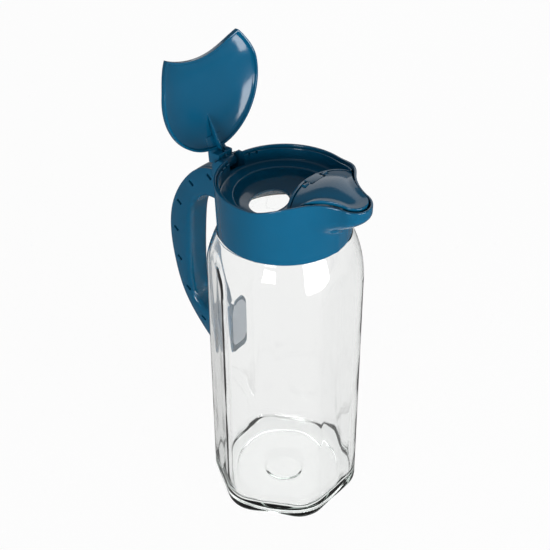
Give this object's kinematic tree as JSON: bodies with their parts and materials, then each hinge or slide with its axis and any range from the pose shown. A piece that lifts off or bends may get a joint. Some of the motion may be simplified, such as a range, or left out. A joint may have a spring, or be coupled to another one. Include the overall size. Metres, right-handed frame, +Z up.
{
  "type": "glass jug with lid",
  "caption": "Clear glass drinks jug with rounded hexagonal sides, push-on plastic pouring head, hinged lid, spout flap and hollow handle.",
  "frame": {"origin": "centre of the resting face under the glass", "axes": "+Z up, +X towards the spout, handle towards -X"},
  "size_m": [0.1702, 0.1104, 0.3391],
  "materials": {
    "clear_glass": "polished",
    "blue_plastic": "gloss",
    "seal_rubber": "matte",
    "pin_steel": "satin"
  },
  "bodies": {
    "jug": {"glass_body": "clear_glass"},
    "head": {"collar": "blue_plastic", "handle_frame": "blue_plastic", "handle_spine": "blue_plastic", "pour_insert": "blue_plastic", "neck_gasket": "seal_rubber", "lid_hinge_pin": "pin_steel", "flap_hinge_pin": "pin_steel"},
    "lid": {"lid": "blue_plastic"},
    "flap": {"spout_flap": "blue_plastic"}
  },
  "joints": [
    {"name": "head_lift", "type": "slide", "parent": "jug", "child": "head", "axis": [0, 0, 1], "range_m": [0, 0.05]},
    {"name": "lid_hinge", "type": "hinge", "parent": "head", "child": "lid", "pos_m": [-0.0522, 0, 0.2591], "axis": [0, 1, 0], "range_deg": [0, 93.5]},
    {"name": "flap_hinge", "type": "hinge", "parent": "head", "child": "flap", "pos_m": [0.0255, 0, 0.27594], "axis": [0, -1, 0], "range_deg": [0, 75]}
  ]
}
